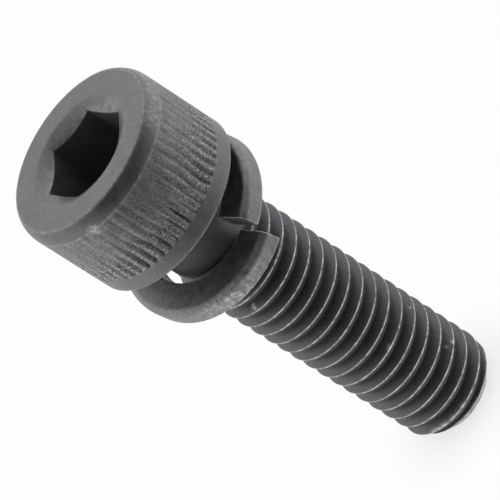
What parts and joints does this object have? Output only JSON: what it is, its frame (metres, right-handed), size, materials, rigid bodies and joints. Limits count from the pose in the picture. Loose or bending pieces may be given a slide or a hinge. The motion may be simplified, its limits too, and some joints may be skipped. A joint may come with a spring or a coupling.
{
  "type": "hex socket cap screw with split lock washer",
  "caption": "Black metric socket head cap screw with a knurled head, standing on its flat tip, with a loose split lock washer cocked on its plain neck.",
  "frame": {"origin": "on the floor, in the middle of the screw's flat tip", "axes": "+Z along the screw from its tip to the top of its head, and -Y is the side that the picture shows"},
  "size_m": [0.013, 0.013, 0.0356],
  "materials": {
    "black_oxide_screw": "black oxide, dry and matt, with worn crests and edges",
    "black_oxide_washer": "black oxide, slightly oily and smooth"
  },
  "bodies": {
    "root": {"cap_screw": "black_oxide_screw", "lock_washer": "black_oxide_washer"}
  },
  "joints": []
}
